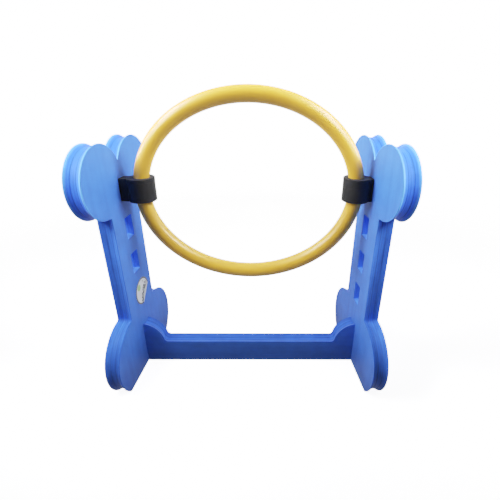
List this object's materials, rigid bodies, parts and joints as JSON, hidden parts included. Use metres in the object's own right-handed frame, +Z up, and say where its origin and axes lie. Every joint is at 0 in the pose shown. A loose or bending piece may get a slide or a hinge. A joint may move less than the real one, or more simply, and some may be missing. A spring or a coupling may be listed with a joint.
{
  "type": "agility jumping ring",
  "caption": "Free-standing foam jump for small dogs: an oval hoop held upright between two bone-shaped foam plates joined by a low crossbar.",
  "frame": {"origin": "on the ground, halfway between the two uprights and halfway between front and rear", "axes": "+X along the crossbar from the left upright to the right one, +Y from the front to the rear, +Z up"},
  "size_m": [0.5554, 0.2716, 0.592],
  "materials": {
    "foam": "matt closed-cell EVA foam, blue",
    "hoop": "satin yellow plastic tube",
    "holder": "matt black foam rubber",
    "joint_plug": "plain black plastic rod",
    "label": "pale printed film, plain design"
  },
  "bodies": {
    "crossbar": {"crossbar_front_sheet": "foam", "crossbar_core_sheet": "foam", "crossbar_rear_sheet": "foam"},
    "left_upright": {"left_upright_inner_sheet": "foam", "left_upright_core_sheet": "foam", "left_upright_outer_sheet": "foam", "round_label": "label"},
    "right_upright": {"right_upright_inner_sheet": "foam", "right_upright_core_sheet": "foam", "right_upright_outer_sheet": "foam"},
    "hoop": {"hoop_tube": "hoop", "hoop_joint_plug": "joint_plug", "left_holder": "holder", "right_holder": "holder"}
  },
  "joints": [
    {"name": "left_upright_pull", "type": "slide", "parent": "crossbar", "child": "left_upright", "axis": [-1, 0, 0], "range_m": [0, 0.045]},
    {"name": "right_upright_pull", "type": "slide", "parent": "crossbar", "child": "right_upright", "axis": [1, 0, 0], "range_m": [0, 0.045]},
    {"name": "hoop_shift", "type": "slide", "parent": "left_upright", "child": "hoop", "axis": [1, 0, 0], "range_m": [-0.0095, 0.0005]}
  ]
}
